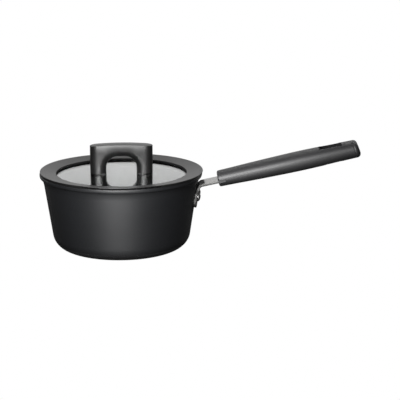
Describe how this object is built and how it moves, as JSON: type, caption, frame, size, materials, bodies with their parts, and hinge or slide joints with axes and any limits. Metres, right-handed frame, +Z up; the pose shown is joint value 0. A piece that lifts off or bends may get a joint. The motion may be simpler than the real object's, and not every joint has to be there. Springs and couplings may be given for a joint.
{
  "type": "saucepan with glass lid",
  "caption": "Saucepan with a riveted steel handle strap, a long moulded grip with a hanging slot, and a domed glass lid with an arch handle and straining slit.",
  "frame": {"origin": "middle of the flat underside of the base disc, on the surface that the pan stands on", "axes": "+Z up, +X from the pan's middle along the grip, -Y towards the straining slit of the lid"},
  "size_m": [0.3423, 0.1736, 0.1162],
  "materials": {
    "anodised_aluminium": "dark hard-anodised, fine turned lines outside; black non-stick inside",
    "base_steel": "turned steel disc",
    "strap_steel": "brushed stainless steel",
    "fastener_steel": "plain stainless steel",
    "grip_phenolic": "satin dark grey moulded",
    "rim_phenolic": "matt dark grey moulded",
    "black_silicone": "matt black",
    "lid_glass": "clear tempered glass",
    "insert_brass": "plain brass"
  },
  "bodies": {
    "pan": {"pan_body": "anodised_aluminium", "induction_plate": "base_steel", "handle_strap": "strap_steel", "heat_guard": "black_silicone", "rivet_front": "fastener_steel", "rivet_rear": "fastener_steel", "grip": "grip_phenolic", "grip_end_cap": "grip_phenolic", "grip_screw": "fastener_steel", "grip_washer": "fastener_steel"},
    "lid": {"lid_glass": "lid_glass", "lid_rim": "rim_phenolic", "lid_handle": "grip_phenolic", "lid_gasket_left": "black_silicone", "lid_gasket_right": "black_silicone", "lid_screw_left": "fastener_steel", "lid_screw_right": "fastener_steel", "lid_washer_left": "fastener_steel", "lid_washer_right": "fastener_steel", "lid_insert_left": "insert_brass", "lid_insert_right": "insert_brass"}
  },
  "joints": [
    {"name": "lid_lift", "type": "slide", "parent": "pan", "child": "lid", "axis": [0, 0, 1], "range_m": [0, 0.12]}
  ]
}
